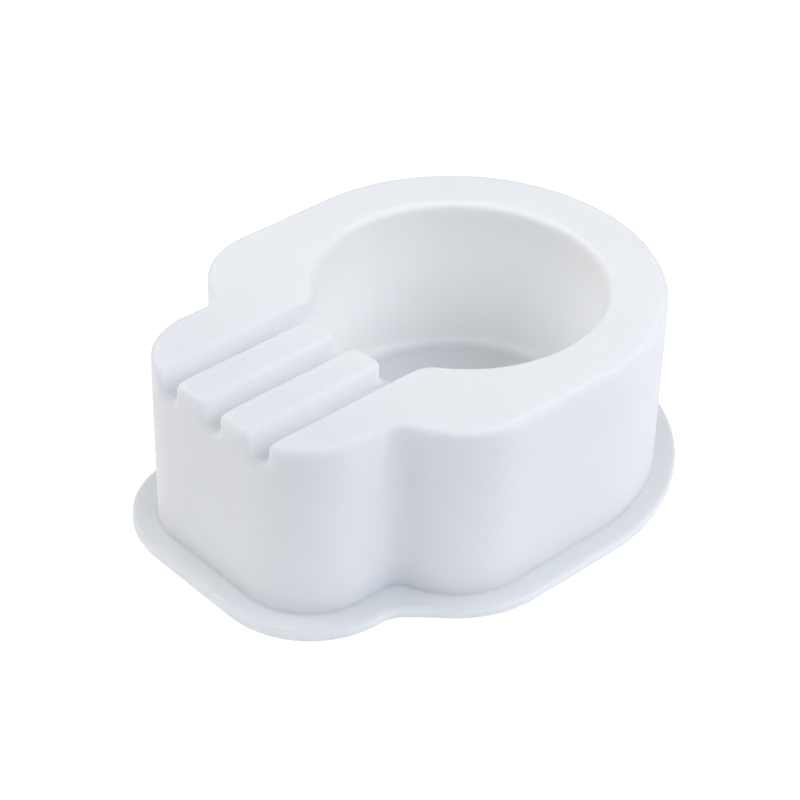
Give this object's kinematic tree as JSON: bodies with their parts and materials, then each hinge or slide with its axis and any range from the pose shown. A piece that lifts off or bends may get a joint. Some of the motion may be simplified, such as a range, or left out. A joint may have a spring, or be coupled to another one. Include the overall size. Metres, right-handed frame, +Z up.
{
  "type": "resin casting mould",
  "caption": "Flexible one-piece casting mould, round body with a short square spout, a deep round core and parallel rest grooves, shown standing upside down on its pouring rim.",
  "frame": {"origin": "on the ground under the middle of the pouring rim's bounding box, at the open mouth", "axes": "+Z up from the open mouth to the closed face, +Y from the spout to the round body, +X to the right seen from the spout"},
  "size_m": [0.112, 0.1394, 0.0494],
  "materials": {
    "silicone": "satin translucent white silicone"
  },
  "bodies": {
    "root": {"pour_rim": "silicone", "bowl_wall": "silicone", "spout_wall": "silicone", "face_plate": "silicone", "ridge_1": "silicone", "ridge_2": "silicone", "groove_floor_1": "silicone", "groove_floor_2": "silicone", "groove_floor_3": "silicone", "groove_side_left": "silicone", "groove_side_right": "silicone", "well_wall": "silicone", "well_floor": "silicone"}
  },
  "joints": []
}
